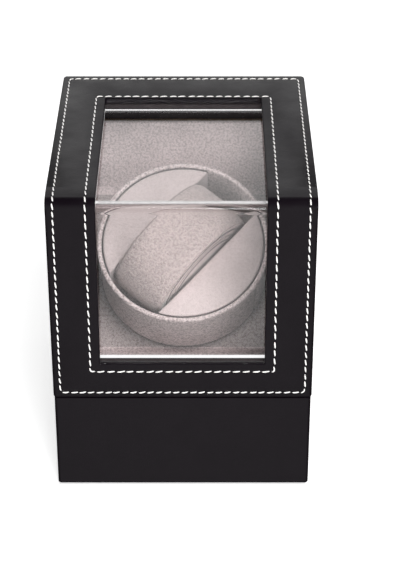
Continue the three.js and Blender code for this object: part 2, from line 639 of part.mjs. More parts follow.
function buildRearControls() {
  const inner = BASE.back - WALL;
  const outer = BASE.back + GAP;
  const mouth = outer + JACK.flangeHeight;
  const jack = turned([
    [0, inner - JACK.reach],
    [JACK.body, inner - JACK.reach],
    [JACK.body, outer],
    [JACK.flange, outer],
    [JACK.flange, mouth],
    [JACK_SOCKET.radius, mouth],
    [JACK_SOCKET.radius, mouth - JACK_SOCKET.depth],
    [JACK_SOCKET.pin, mouth - JACK_SOCKET.depth],
    [JACK_SOCKET.pin, mouth - JACK_SOCKET.pinSet],
    [0, mouth - JACK_SOCKET.pinSet],
  ]);
  add('supply_jack', pointBack(jack, JACK.x, JACK.z), BLACK_PLASTIC);

  const hexagon = new THREE.Shape();
  for (let corner = 0; corner < 6; corner += 1) {
    const angle = (Math.PI * corner) / 3;
    const point = [JACK_NUT.radius * Math.cos(angle), JACK_NUT.radius * Math.sin(angle)];
    if (corner === 0) hexagon.moveTo(...point);
    else hexagon.lineTo(...point);
  }
  hexagon.closePath();
  hexagon.holes.push(new THREE.Path().absarc(0, 0, JACK.hole, 0, 2 * Math.PI, true));
  const nutFace = inner - GAP;
  const nut = prism(hexagon, nutFace - JACK_NUT.height, nutFace, ROUND_STEPS.small);
  add('jack_nut', pointBack(nut, JACK.x, JACK.z), NICKEL);

  // Mode switch inside the wall, with its knob outside.
  const { x, z } = KNOB;
  const { half, depth, well } = MODE_SWITCH;
  const switchBlock = block([x - half, inner - depth, z - half], [x + half, inner - GAP, z + half]);
  const shaftWell = pointBack(rod(KNOB.hole, inner - well, inner + CLEAR), x, z);
  add('mode_switch', shell(cut(solid(switchBlock), [shaftWell])), BLACK_PLASTIC);

  const dialFace = outer + KNOB.dial;
  const knobEnd = HINGE.y + HINGE.knuckle;
  const dial = turned([
    [0, inner - KNOB.reach],
    [KNOB.shaft, inner - KNOB.reach],
    [KNOB.shaft, outer],
    [KNOB.radius, outer],
    [KNOB.radius, dialFace - KNOB.edge],
    [KNOB.radius - KNOB.edge, dialFace],
    [0, dialFace],
  ]);
  const { halfLength, halfWidth, root } = KNOB_GRIP;
  const grip = block([-halfLength, dialFace - root, -halfWidth], [halfLength, knobEnd, halfWidth]);
  const knob = solid(pointBack(dial, 0, 0)).add(solid(grip));
  add('mode_knob', shell(knob), BLACK_PLASTIC).position.set(x, 0, z);

  const board = block(
    [-CIRCUIT_BOARD.halfWidth, CIRCUIT_BOARD.y, CIRCUIT_BOARD.bottom],
    [CIRCUIT_BOARD.halfWidth, CIRCUIT_BOARD.y + CIRCUIT_BOARD.thickness, CIRCUIT_BOARD.top],
  );
  add('circuit_board', board, CIRCUIT_GREEN);
}

buildLid();
buildBaseCase();
buildConsole();
buildDrum();
buildDrive();
buildHinge(-1, 'left');
buildHinge(1, 'right');
buildHingeScrews();
buildRearControls();

export default model;
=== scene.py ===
# Looks of the watch winder box: leatherette, saddle stitching, bent window, velvet and rear fittings.
import json
import math
import random

import bmesh
import bpy
from mathutils import Matrix, Vector, noise


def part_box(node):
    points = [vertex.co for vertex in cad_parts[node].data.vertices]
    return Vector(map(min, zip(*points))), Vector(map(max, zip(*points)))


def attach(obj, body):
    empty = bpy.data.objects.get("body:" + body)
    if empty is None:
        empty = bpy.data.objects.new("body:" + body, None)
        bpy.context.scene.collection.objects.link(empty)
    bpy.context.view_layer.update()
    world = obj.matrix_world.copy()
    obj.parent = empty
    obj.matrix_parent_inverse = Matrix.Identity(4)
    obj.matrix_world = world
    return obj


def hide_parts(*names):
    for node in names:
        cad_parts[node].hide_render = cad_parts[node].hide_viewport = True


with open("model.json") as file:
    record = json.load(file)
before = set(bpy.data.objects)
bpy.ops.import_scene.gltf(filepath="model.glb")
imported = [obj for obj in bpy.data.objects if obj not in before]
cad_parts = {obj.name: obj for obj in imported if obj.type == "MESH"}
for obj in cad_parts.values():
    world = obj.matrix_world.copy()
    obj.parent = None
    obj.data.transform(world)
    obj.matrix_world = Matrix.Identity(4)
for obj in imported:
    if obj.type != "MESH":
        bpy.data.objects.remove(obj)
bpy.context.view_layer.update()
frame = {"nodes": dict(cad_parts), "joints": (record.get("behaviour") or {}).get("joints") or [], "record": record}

MM = 0.001
WHITE = (1.0, 1.0, 1.0)

# ---------------------------------------------------------------------- driving sizes
# In millimetres, in the part's frame, as the CAD model has them.

LID_LOW, LID_HIGH = (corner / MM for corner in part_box("lid_leatherette"))
BASE_LOW, BASE_HIGH = (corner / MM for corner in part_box("base_leatherette"))
PANE_LOW, PANE_HIGH = (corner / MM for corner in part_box("window_pane"))
VELVET_LOW, VELVET_HIGH = (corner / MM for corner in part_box("console_velvet"))

JOINTS = {joint["name"]: joint for joint in frame["joints"]}
DRUM_JOINT = JOINTS["drum_spin"]
DRUM_AXIS = Vector(DRUM_JOINT["axis"]).normalized()
DRUM_CENTRE = Vector(DRUM_JOINT["pos_m"]) / MM
DRUM_LEAN = math.atan2(-DRUM_AXIS.y, DRUM_AXIS.z)
DRUM_FRAME = Matrix.Translation(DRUM_CENTRE) @ Matrix.Rotation(DRUM_LEAN, 4, "X")

# The case: its walls, and the leatherette with its turned edges and the crease over the lid's front edge.
WALL = 6.0
SKIN = 0.8
SKIN_ROUND = 0.5
EDGE_RADIUS = 1.7
LEAST_RADIUS = 0.4
CREASE_RADIUS = 4.5
INNER_CREASE = 0.6
CREASE_FALL = 9.0
CREASE_DROP = 0.45
LIP_DEPTH = 3.4
LIP_ROUND = 0.7
TURN_UNDER = 0.9

# How near a point must lie to a plane to count as on it.
NEAR = 0.02

# The window: its opening, and the acrylic sheet, whose cut edges and a thin strip beside them glow with painted
# light, and whose bend carries a painted highlight.
PANE_OVERLAP = 0.4
WINDOW_HALF = PANE_HIGH.x - PANE_OVERLAP
WINDOW_BACK = PANE_HIGH.y - PANE_OVERLAP
WINDOW_BOTTOM = PANE_LOW.z + PANE_OVERLAP
PANE_THICKNESS = 2.0
PANE_BEND = 5.0
# How far the painted glow of the cut edges reaches onto the sheet's front face and onto its top.
GLOW_FRONT, GLOW_BACK = 1.75, 0.6
# How far below the sheet's top the painted highlight on its bend reaches.
BEND_HIGHLIGHT_DEPTH = 0.33

# The stitching: a stitch's shape, and how far each line lies from the lid's edges or from the window.
STITCH_SIDES, STITCH_RINGS = 6, 7
THREAD_RADIUS = 0.34
STITCH_FILL = 0.82
STITCH_SLANT = 0.26
OUTER_SIDE, OUTER_LOW, OUTER_BACK = 3.5, 2.9, 5.0
OUTER_CORNER, OUTER_PITCH = 2.0, 4.1
INNER_SIDE, INNER_LOW, INNER_BACK = 4.7, 4.2, 2.0
INNER_CORNER, INNER_PITCH = 1.2, 4.65

# The console's velvet. Its slope is square to the drum's axis, which it crosses at SLOPE_LEVEL.
SLOPE_LEVEL = -36.6
LEDGE_TOP = 46.5
VELVET_THICKNESS = 0.8
BACK_FACE = VELVET_HIGH.y - VELVET_THICKNESS
LEDGE_FOLD, BACK_FOLD = 3.0, 4.0
LINING_STEP, LINING_COLUMNS = 2.5, 44
LINING_SWELL, LINING_SINK = 0.25, 0.1
SHAFT_HOLE = 5.0

# The drum: its cup, the sewn seam down the wall, and the pads on both sides of the slot.
CUP_RIM, CUP_BACK, CUP_INNER, CUP_DEPTH, CUP_FLOOR = 43.6, 42.6, 41.2, 34.3, 2.5
CUP_FOOT = 1.2
CUP_HOLE = 1.5
CUP_SEGMENTS = 360
SEAM_ANGLE = math.radians(-31.5)
SEAM_TOP = -1.6
GROOVE_DEPTH, GROOVE_WIDTH = 0.9, 0.8
OVERLAP_HEIGHT, OVERLAP_PLACE, OVERLAP_WIDTH = 0.35, 2.4, 1.6
SLOT_ANGLE = math.radians(48.5)
SLOT_HALF = 16.3
PAD_RADIUS, PAD_TOP, PAD_BOTTOM = 40.5, -0.3, -31.4
PAD_ROUND = 1.2
PAD_CROWN, PAD_RIPPLE = 0.28, 0.12
PAD_ARC_STEPS, PAD_SIDE_STEPS = 40, 30

# The pillow: its oval in the slot, and the side panels set in behind its edge.
PILLOW_ALONG, PILLOW_DEPTH, PILLOW_HALF = 33.8, 22.7, 15.5
PILLOW_MIDDLE = (-2.5, -7.0)
PILLOW_TURNS = 120
BAND_COLUMNS = 26
BAND_INSET = 0.25
PANEL_SIZE = 0.93
PANEL_INSET, PANEL_BULGE = 0.56, 0.36
# A strip this wide along the pillow's left edge takes the dark seam velvet: painted shade.
SHADED_EDGE = 1.2

# Cords on the pillow's side panels: depth inside its edge, size of its oval, radius.
PIPING = ((0.55, 0.94, 0.4), (0.45, 0.70, 0.4))
# The seam cords take the dark seam velvet: painted shade lines.
SHADE_SEAMS = ((0.35, 0.82, 0.3), (0.25, 0.60, 0.3))
CORD_SIDES = 8

# The rear fittings: the holes in the base's skin, and the edges broken on metal and plastic.
KNOB_HOLE, JACK_HOLE = 3.3, 4.3
KNOB_PLACE = Vector(JOINTS["mode_knob_turn"]["pos_m"]) / MM
JACK_PLACE = sum(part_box("supply_jack"), Vector()) / 2 / MM
REAR_HOLES = ((KNOB_PLACE, KNOB_HOLE), (JACK_PLACE, JACK_HOLE))
BROKEN_EDGES = {"mode_knob": 0.2, "supply_jack": 0.2}
BROKEN_EDGES.update({f"rubber_foot_{number}": 0.4 for number in range(1, 5)})
for half in ("lid", "base"):
    BROKEN_EDGES.update({f"hinge_{half}_leaf_{side}": 0.15 for side in ("left", "right")})

# Painted shade: the velvet's colour darkens where ambient occlusion finds surfaces close by, standing in for
# contact shadows in the crevices: how wide a hollow counts, and the share of its colour left there.
PAINTED_SHADE_REACH = 5.0
PAINTED_HOLLOW_SHADE = (0.25, 0.23, 0.23)

# The stage, in metres: the camera, the lamps with their place, size and power, the floor, and how high the
# middle of the backdrop lies.
CAMERA_PLACE, CAMERA_TILT = (0.0094, -0.821, 0.5525), 59.77
LENS, SENSOR = 117.1, 36.0
LAMP_TARGET = Vector((0, 0, 0.09))
LAMPS = (
    ("key", Vector((0.30, -0.86, 1.20)), 0.6, 18),
    ("top", Vector((0.0, -0.2, 1.3)), 1.0, 4),
    ("fill", Vector((0.60, -1.20, 0.45)), 0.7, 6),
    ("low fill", Vector((-0.55, -1.15, 0.55)), 0.7, 5.5),
)
FLOOR_HALF = 4.0
FLOOR_GLOW = 0.55
BACKDROP_RISE = math.radians(18)


# ---------------------------------------------------------------------- material tools

def texture(tree, kind, scale, detail=2.0):
    """A noise or voronoi texture on object coordinates, with features about 1/scale of a millimetre wide."""
    place = tree.nodes.new("ShaderNodeTexCoord")
    mapping = tree.nodes.new("ShaderNodeMapping")
    mapping.inputs["Scale"].default_value = (scale / MM, scale / MM, scale / MM)
    node = tree.nodes.new(kind)
    node.inputs["Scale"].default_value = 1.0
    if "Detail" in node.inputs:
        node.inputs["Detail"].default_value = detail
    tree.links.new(place.outputs["Object"], mapping.inputs["Vector"])
    tree.links.new(mapping.outputs["Vector"], node.inputs["Vector"])
    return node


def spread(tree, value, low, high, start=0.3, end=0.7):
    """Maps a texture's value onto a range."""
    node = tree.nodes.new("ShaderNodeMapRange")
    node.inputs["From Min"].default_value = start
    node.inputs["From Max"].default_value = end
    node.inputs["To Min"].default_value = low
    node.inputs["To Max"].default_value = high
    tree.links.new(value, node.inputs["Value"])
    return node.outputs["Result"]


def blend_colours(tree, value, dark, light, start=0.3, end=0.7):
    """Mixes two colours by a texture's value."""
    mix = tree.nodes.new("ShaderNodeMix")
    mix.data_type = "RGBA"
    mix.inputs["A"].default_value = (*dark, 1)
    mix.inputs["B"].default_value = (*light, 1)
    tree.links.new(spread(tree, value, 0.0, 1.0, start, end), mix.inputs["Factor"])
    return mix.outputs["Result"]


def multiply_colours(tree, first, second):
    """Multiplies two colours."""
    mix = tree.nodes.new("ShaderNodeMix")
    mix.data_type = "RGBA"
    mix.blend_type = "MULTIPLY"
    mix.inputs["Factor"].default_value = 1.0
    tree.links.new(first, mix.inputs["A"])
    tree.links.new(second, mix.inputs["B"])
    return mix.outputs["Result"]


def bump(tree, shader, value, height, strength=1.0):
    """Adds a bump of a height in millimetres on top of those the shader already has."""
    node = tree.nodes.new("ShaderNodeBump")
    node.inputs["Distance"].default_value = height * MM
    node.inputs["Strength"].default_value = strength
    tree.links.new(value, node.inputs["Height"])
    if shader.inputs["Normal"].is_linked:
        tree.links.new(shader.inputs["Normal"].links[0].from_socket, node.inputs["Normal"])
    tree.links.new(node.outputs["Normal"], shader.inputs["Normal"])


def new_material(name, **sockets):
    """A material with a Principled shader and the given uniform socket values."""
    made = bpy.data.materials.new(name)
    made.use_nodes = True
    shader = made.node_tree.nodes["Principled BSDF"]
    for socket, value in sockets.items():
        shader.inputs[socket.replace("_", " ")].default_value = value
    return made, made.node_tree, shader


def plain_surface(name, dark, light, roughness, mottle=0.4, height=0.02, **sockets):
    """A moulded, turned or cut surface: mottled colour, uneven gloss and a fine grain."""
    made, tree, shader = new_material(name, **sockets)
    cloud = texture(tree, "ShaderNodeTexNoise", mottle, 4.0)
    colour = blend_colours(tree, cloud.outputs["Fac"], dark, light)
    tree.links.new(colour, shader.inputs["Base Color"])
    rough = spread(tree, cloud.outputs["Fac"], *roughness)
    tree.links.new(rough, shader.inputs["Roughness"])
    fine = texture(tree, "ShaderNodeTexNoise", 3.0, 3.0)
    bump(tree, shader, fine.outputs["Fac"], height)
    return made


# ---------------------------------------------------------------------- materials

def leatherette_material():
    """Smooth black leatherette: a pebbled grain under a thin coat, with gentle unevenness from the board."""
    made, tree, shader = new_material("leatherette", Specular_IOR_Level=0.3)
    cloud = texture(tree, "ShaderNodeTexNoise", 0.09, 3.0)
    colour = blend_colours(tree, cloud.outputs["Fac"], (0.0030, 0.0016, 0.0031), (0.0044, 0.0028, 0.0045))
    tree.links.new(colour, shader.inputs["Base Color"])
    tree.links.new(spread(tree, cloud.outputs["Fac"], 0.34, 0.44), shader.inputs["Roughness"])
    pebble = texture(tree, "ShaderNodeTexVoronoi", 1.5)
    bump(tree, shader, pebble.outputs["Distance"], 0.05, 0.5)
    pores = texture(tree, "ShaderNodeTexNoise", 5.0, 2.0)
    bump(tree, shader, pores.outputs["Fac"], 0.015, 0.5)
    bump(tree, shader, cloud.outputs["Fac"], 0.6, 0.25)
    return made


def velvet_material(name, dark, light, nap, tuft_shade):
    """Short-pile velveteen: brushed patches, tiny tufts, painted shade in its crevices and a soft sheen."""
    made, tree, shader = new_material(
        name, Roughness=0.95, Specular_IOR_Level=0.1, Sheen_Weight=0.35, Sheen_Roughness=0.45
    )
    shader.inputs["Sheen Tint"].default_value = (1.0, 0.95, 0.94, 1)
    brushed = texture(tree, "ShaderNodeTexNoise", 0.05, 3.0)
    tufts = texture(tree, "ShaderNodeTexNoise", 0.9, 4.0)
    painted_shade_ao = tree.nodes.new("ShaderNodeAmbientOcclusion")
    painted_shade_ao.samples = 4
    painted_shade_ao.inputs["Distance"].default_value = PAINTED_SHADE_REACH * MM
    patches = blend_colours(tree, brushed.outputs["Fac"], dark, light)
    specks = blend_colours(tree, tufts.outputs["Fac"], tuft_shade, WHITE, 0.36, 0.58)
    # Painted shade: the colour is darkened by ambient occlusion in crevices and along contact lines.
    depth = blend_colours(tree, painted_shade_ao.outputs["AO"], PAINTED_HOLLOW_SHADE, WHITE, 0.2, 0.62)
    colour = multiply_colours(tree, multiply_colours(tree, patches, specks), depth)
    tree.links.new(colour, shader.inputs["Base Color"])
    bump(tree, shader, tufts.outputs["Fac"], 0.25 * nap, 0.8)
    return made


def thread_material():
    """White waxed thread, with its twist."""
    made, tree, shader = new_material("white_thread", Roughness=0.6, Sheen_Weight=0.2)
    twist = texture(tree, "ShaderNodeTexNoise", 2.2, 2.0)
    colour = blend_colours(tree, twist.outputs["Fac"], (0.62, 0.6, 0.58), (0.9, 0.89, 0.87))
    tree.links.new(colour, shader.inputs["Base Color"])
    bump(tree, shader, twist.outputs["Fac"], 0.12)
    return made


def acrylic_material():
    """Clear acrylic that bends what is seen through it and lets lamp light straight in."""
    made = bpy.data.materials.new("clear_acrylic")
    made.use_nodes = True
    tree = made.node_tree
    tree.nodes.remove(tree.nodes["Principled BSDF"])
    glass = tree.nodes.new("ShaderNodeBsdfGlass")
    glass.inputs["IOR"].default_value = 1.49
    haze = texture(tree, "ShaderNodeTexNoise", 0.03, 2.0)
    tree.links.new(spread(tree, haze.outputs["Fac"], 0.0, 0.015), glass.inputs["Roughness"])
    clear = tree.nodes.new("ShaderNodeBsdfTransparent")
    clear.inputs["Color"].default_value = (0.97, 0.97, 0.97, 1)
    path = tree.nodes.new("ShaderNodeLightPath")
    either = tree.nodes.new("ShaderNodeMath")
    either.operation = "MAXIMUM"
    tree.links.new(path.outputs["Is Shadow Ray"], either.inputs[0])
    tree.links.new(path.outputs["Is Diffuse Ray"], either.inputs[1])
    mix = tree.nodes.new("ShaderNodeMixShader")
    tree.links.new(either.outputs["Value"], mix.inputs["Fac"])
    tree.links.new(glass.outputs["BSDF"], mix.inputs[1])
    tree.links.new(clear.outputs["BSDF"], mix.inputs[2])
    tree.links.new(mix.outputs["Shader"], tree.nodes["Material Output"].inputs["Surface"])
    return made


LEATHERETTE = leatherette_material()
THREAD = thread_material()
ACRYLIC = acrylic_material()
VELVET = velvet_material("cream_velvet", (0.60, 0.495, 0.495), (0.73, 0.61, 0.61), 2.6, (0.62, 0.60, 0.60))
# The slope's copy of the lining velvet is darker: painted shade on the slope.
SHADED_SLOPE_VELVET = velvet_material(
    "slope_velvet_painted_shade", (0.37, 0.31, 0.305), (0.46, 0.39, 0.385), 2.6, (0.60, 0.58, 0.58)
)
CUP_VELVET = velvet_material("cup_velvet", (0.60, 0.505, 0.50), (0.74, 0.635, 0.63), 5.0, (0.50, 0.47, 0.47))
PILLOW_VELVET = velvet_material(
    "pillow_velvet", (0.43, 0.355, 0.345), (0.51, 0.42, 0.41), 6.0, (0.72, 0.71, 0.71)
)
# A lighter copy of the pillow's velvet for its side panels: painted light.
LIT_SIDE_VELVET = velvet_material(
    "pillow_side_velvet_painted_light", (0.70, 0.585, 0.575), (0.82, 0.695, 0.685), 0.8, (0.85, 0.84, 0.84)
)
# Dark velvet for the seam lines, the pillow's left edge and the cup's seam groove: painted shade.
SEAM_SHADE_VELVET = velvet_material(
    "seam_painted_shade_velvet", (0.24, 0.20, 0.195), (0.30, 0.25, 0.245), 0.5, (0.85, 0.84, 0.84)
)
PAD_VELVET = velvet_material("pad_velvet", (0.48, 0.405, 0.40), (0.57, 0.485, 0.48), 0.6, (0.88, 0.87, 0.87))
# The sheet's cut edges: dark, with a white glow that is painted light.
GLOWING_EDGE = plain_surface(
    "sawn_edge_painted_glow",
    (0.10, 0.10, 0.10),
    (0.16, 0.16, 0.16),
    (0.5, 0.7),
    height=0.05,
    Emission_Strength=0.84,
)
# A pale, half-clear, faintly glowing line along the bend: a painted highlight.
BEND_HIGHLIGHT = plain_surface(
    "bend_painted_highlight", (0.70, 0.68, 0.68), (0.85, 0.83, 0.83), (0.3, 0.5), Emission_Strength=0.1, Alpha=0.6
)
BLACK_LINING = plain_surface(
    "black_lining", (0.034, 0.029, 0.030), (0.048, 0.042, 0.043), (0.8, 0.95), Specular_IOR_Level=0.05
)
FIBREBOARD = plain_surface(
    "fibreboard", (0.20, 0.13, 0.08), (0.33, 0.23, 0.15), (0.8, 0.95), 1.2, height=0.08
)
BLACK_FELT = plain_surface(
    "black_felt", (0.006, 0.006, 0.006), (0.02, 0.02, 0.02), (0.9, 1.0), 1.0, height=0.3
)
RUBBER = plain_surface("rubber", (0.010, 0.010, 0.010), (0.018, 0.018, 0.018), (0.6, 0.8), height=0.04)
NICKEL = plain_surface("nickel", (0.54, 0.53, 0.50), (0.60, 0.59, 0.56), (0.20, 0.30), 0.12, Metallic=1.0)
STEEL = plain_surface("steel", (0.30, 0.31, 0.32), (0.45, 0.46, 0.47), (0.25, 0.45), Metallic=1.0)
BRASS = plain_surface("brass", (0.40, 0.27, 0.09), (0.55, 0.40, 0.16), (0.2, 0.38), Metallic=1.0)
ACETAL = plain_surface("acetal", (0.68, 0.64, 0.55), (0.80, 0.77, 0.70), (0.4, 0.55))
BLACK_PLASTIC = plain_surface("black_plastic", (0.010, 0.010, 0.011), (0.017, 0.017, 0.018), (0.35, 0.5))
CIRCUIT = plain_surface("solder_mask", (0.01, 0.07, 0.025), (0.02, 0.12, 0.045), (0.25, 0.4))

SLOT_MATERIALS = {
    "leatherette": LEATHERETTE,
    "board": FIBREBOARD,
    "black_board": BLACK_LINING,
    "felt": BLACK_FELT,
    "rubber": RUBBER,
    "velvet": VELVET,
    "nickel": NICKEL,
    "brass": BRASS,
    "gear_plastic": ACETAL,
    "black_plastic": BLACK_PLASTIC,
    "circuit": CIRCUIT,
    "acrylic": ACRYLIC,
    "steel": STEEL,
}


# ---------------------------------------------------------------------- mesh tools

def place_piece(name, mesh, materials, body, stands_for=()):
    """Puts a mesh in the scene as a piece that rides on a body."""
    piece = bpy.data.objects.new(name, mesh)
    bpy.context.collection.objects.link(piece)
    for one in materials:
        mesh.materials.append(one)
    if stands_for:
        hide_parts(*stands_for)
    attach(piece, body)
    return piece


def mesh_from(name, shape, matrix=None, smooth=40):
    """A mesh from a bmesh drawn in millimetres, moved by a matrix, with sharp edges kept past an angle."""
    if matrix is not None:
        shape.transform(matrix)
    bmesh.ops.recalc_face_normals(shape, faces=shape.faces)
    bmesh.ops.scale(shape, vec=(MM, MM, MM), verts=shape.verts)
    mesh = bpy.data.meshes.new(name)
    shape.to_mesh(mesh)
    shape.free()
    mesh.shade_smooth()
    mesh.set_sharp_from_angle(angle=math.radians(smooth))
    return mesh


def ring_skin(shape, rings, closed=False):
    """Faces between rings of vertices that all have the same length, each ring closed on itself."""
    loops = [[shape.verts.new(point) for point in ring] for ring in rings]
    pairs = list(zip(loops, loops[1:]))
    if closed:
        pairs.append((loops[-1], loops[0]))
    for lower, upper in pairs:
        count = len(lower)
        for index in range(count):
            after = (index + 1) % count
            shape.faces.new((lower[index], lower[after], upper[after], upper[index]))
    return loops


def extrude_outline(shape, outline, low, high):
    """A closed outline of (y, z) points, extruded along X."""
    ends = [[shape.verts.new((x, y, z)) for y, z in outline] for x in (low, high)]
    shape.faces.new(ends[0])
    shape.faces.new(ends[1])
    count = len(outline)
    for index in range(count):
        after = (index + 1) % count
        shape.faces.new((ends[0][index], ends[0][after], ends[1][after], ends[1][index]))


def arc(centre, radius, start, end, steps):
    """Points on an arc, angles in degrees."""
    points = []
    for step in range(steps + 1):
        angle = math.radians(start + (end - start) * step / steps)
        points.append((centre[0] + radius * math.cos(angle), centre[1] + radius * math.sin(angle)))
    return points


def block_shape(low, high):
    """A box between two corners as a bmesh."""
    shape = bmesh.new()
    outline = [(low[1], low[2]), (high[1], low[2]), (high[1], high[2]), (low[1], high[2])]
    extrude_outline(shape, outline, low[0], high[0])
    return shape


def carve(shape, cutters):
    """The shape with each cutter taken out, by exact booleans. Both are in millimetres."""
    base = bpy.data.objects.new("carved", bpy.data.meshes.new("carved"))
    bpy.context.collection.objects.link(base)
    bmesh.ops.recalc_face_normals(shape, faces=shape.faces)
    shape.to_mesh(base.data)
    shape.free()
    spent = [base]
    for cutter in cutters:
        bmesh.ops.recalc_face_normals(cutter, faces=cutter.faces)
        tool = bpy.data.objects.new("cutter", bpy.data.meshes.new("cutter"))
        bpy.context.collection.objects.link(tool)
        cutter.to_mesh(tool.data)
        cutter.free()
        modifier = base.modifiers.new("cut", "BOOLEAN")
        modifier.operation = "DIFFERENCE"
        modifier.solver = "EXACT"
        modifier.object = tool
        spent.append(tool)
    bpy.context.view_layer.update()
    result = bmesh.new()
    result.from_object(base, bpy.context.evaluated_depsgraph_get())
    for one in spent:
        data = one.data
        bpy.data.objects.remove(one)
        bpy.data.meshes.remove(data)
    bmesh.ops.remove_doubles(result, verts=result.verts, dist=0.001)
    return result


def turned_rings(profile, segments, relief):
    """Rings of points for a profile of (radius, z) turned about Z, with a relief added to the radius."""
    rings = []
    for index in range(segments):
        angle = 2 * math.pi * index / segments
        ring = []
        for radius, z in profile:
            reach = radius + relief(angle, radius, z)
            ring.append(Vector((reach * math.cos(angle), reach * math.sin(angle), z)))
        rings.append(ring)
    return rings


# ---------------------------------------------------------------------- leatherette skins

def crease_drop(y, front=LID_LOW.y):
    """How far the lid's top sinks towards its front edge."""
    share = (front + CREASE_RADIUS + CREASE_FALL - y) / CREASE_FALL
    return CREASE_DROP * min(1.0, max(0.0, share)) ** 2


def lid_outline(inset, bottom, crease):
    """The lid's side outline, shrunk by an inset, with its front top edge rounded."""
    front, back, top = LID_LOW.y + inset, LID_HIGH.y - inset, LID_HIGH.z - inset
    line = arc((front + crease, top - crease), crease, 180, 90, 14)
    line += [(front + crease + CREASE_FALL * step / 6, top) for step in range(1, 7)]
    sunk = [(y, z - crease_drop(y, front)) for y, z in line]
    return [(back, bottom), (front, bottom), *sunk, (back, top)]


def lid_shape(inset, bottom, crease):
    """The lid's block as a bmesh, shrunk by an inset."""
    shape = bmesh.new()
    extrude_outline(shape, lid_outline(inset, bottom, crease), LID_LOW.x + inset, LID_HIGH.x - inset)
    return shape


def round_outer_edges(shape, low, high, radius):
    """Rounds the upright edges and the top edges of a case block, but not the bottom."""
    def on_side(vert):
        return abs(vert.co.x - low.x) < NEAR or abs(vert.co.x - high.x) < NEAR

    edges = []
    for edge in shape.edges:
        start, end = edge.verts
        along_x = abs(start.co.x - end.co.x) > 1
        at_bottom = start.co.z < low.z + NEAR and end.co.z < low.z + NEAR
        if not along_x and not at_bottom and on_side(start):
            edges.append(edge)
        elif along_x and abs(start.co.y - high.y) < NEAR and start.co.z > low.z + 1:
            edges.append(edge)
    bmesh.ops.bevel(shape, geom=edges, offset=radius, segments=5, profile=0.5, affect="EDGES")


def soften(shape, wanted, radius):
    """Rounds the sharp edges whose middle satisfies a test."""
    edges = [
        edge
        for edge in shape.edges
        if len(edge.link_faces) == 2
        and edge.calc_face_angle(0) > math.radians(50)
        and wanted((edge.verts[0].co + edge.verts[1].co) / 2)
    ]
    bmesh.ops.bevel(
        shape, geom=edges, offset=radius, segments=3, profile=0.5, affect="EDGES", clamp_overlap=False
    )


def window_cutter():
    """The box that opens the window."""
    beyond = 10
    return block_shape(
        (-WINDOW_HALF, LID_LOW.y - beyond, WINDOW_BOTTOM), (WINDOW_HALF, WINDOW_BACK, LID_HIGH.z + beyond)
    )


def on_lid_rim(point):
    """Whether a point lies on the rim of the window's opening or on the lid's bottom rim."""
    at_side = abs(abs(point.x) - WINDOW_HALF) < NEAR and point.z > WINDOW_BOTTOM - 0.1
    at_end = abs(point.z - WINDOW_BOTTOM) < NEAR or abs(point.y - WINDOW_BACK) < NEAR
    in_window = abs(point.x) < WINDOW_HALF + 0.1
    rim = EDGE_RADIUS + 0.1
    outside = abs(point.x) > LID_HIGH.x - rim or point.y < LID_LOW.y + rim or point.y > LID_HIGH.y - rim
    return (in_window and (at_side or at_end)) or (outside and abs(point.z - LID_LOW.z) < NEAR)


def lid_skin():
    """Leatherette over the lid, turned into the window and under the bottom edge."""
    bottom = LID_LOW.z
    shape = lid_shape(0, bottom, CREASE_RADIUS)
    round_outer_edges(shape, LID_LOW, LID_HIGH, EDGE_RADIUS)
    under = lid_shape(LIP_DEPTH, bottom + TURN_UNDER, CREASE_RADIUS - LIP_DEPTH)
    inside = lid_shape(WALL, bottom - 5, INNER_CREASE)
    shape = carve(shape, [under, inside, window_cutter()])
    soften(shape, on_lid_rim, LIP_ROUND)
    mesh = mesh_from("lid_skin", shape, smooth=32)
    return place_piece("lid_skin", mesh, [LEATHERETTE], "lid", ["lid_leatherette"])


def case_ring(low, high, inset, z):
    """A rounded rectangle: a case half seen from above, shrunk by an inset, at a height."""
    radius = max(EDGE_RADIUS - inset, LEAST_RADIUS)
    corners = [
        (high.x - inset - radius, high.y - inset - radius, 0),
        (low.x + inset + radius, high.y - inset - radius, 90),
        (low.x + inset + radius, low.y + inset + radius, 180),
        (high.x - inset - radius, low.y + inset + radius, 270),
    ]
    return [
        Vector((*point, z))
        for x, y, heading in corners
        for point in arc((x, y), radius, heading, heading + 90, 5)
    ]


def rear_drill(place, radius):
    """A rod that drills through the base's rear skin."""
    shape = bmesh.new()
    lying = Matrix.Translation((place.x, BASE_HIGH.y, place.z)) @ Matrix.Rotation(math.pi / 2, 4, "X")
    bmesh.ops.create_cone(
        shape, cap_ends=True, segments=40, radius1=radius, radius2=radius, depth=WALL, matrix=lying
    )
    return shape


def base_skin():
    """Leatherette over the base, turned over its top edge, with holes for the knob and the jack."""
    bottom, top, soft = BASE_LOW.z, BASE_HIGH.z, SKIN_ROUND
    profile = [(soft, bottom), (0, bottom + soft)]
    profile += [(soft - x, z) for x, z in arc((0, top - soft), soft, 0, 90, 3)]
    profile += [(WALL - x, z) for x, z in arc((soft, top - soft), soft, 90, 180, 3)]
    profile += [(WALL, top - SKIN), (SKIN, top - SKIN), (SKIN, bottom)]
    shape = bmesh.new()
    ring_skin(shape, [case_ring(BASE_LOW, BASE_HIGH, inset, z) for inset, z in profile], closed=True)
    shape = carve(shape, [rear_drill(place, radius) for place, radius in REAR_HOLES])
    mesh = mesh_from("base_skin", shape, smooth=32)
    return place_piece("base_skin", mesh, [LEATHERETTE], "base", ["base_leatherette"])


# ---------------------------------------------------------------------- stitching

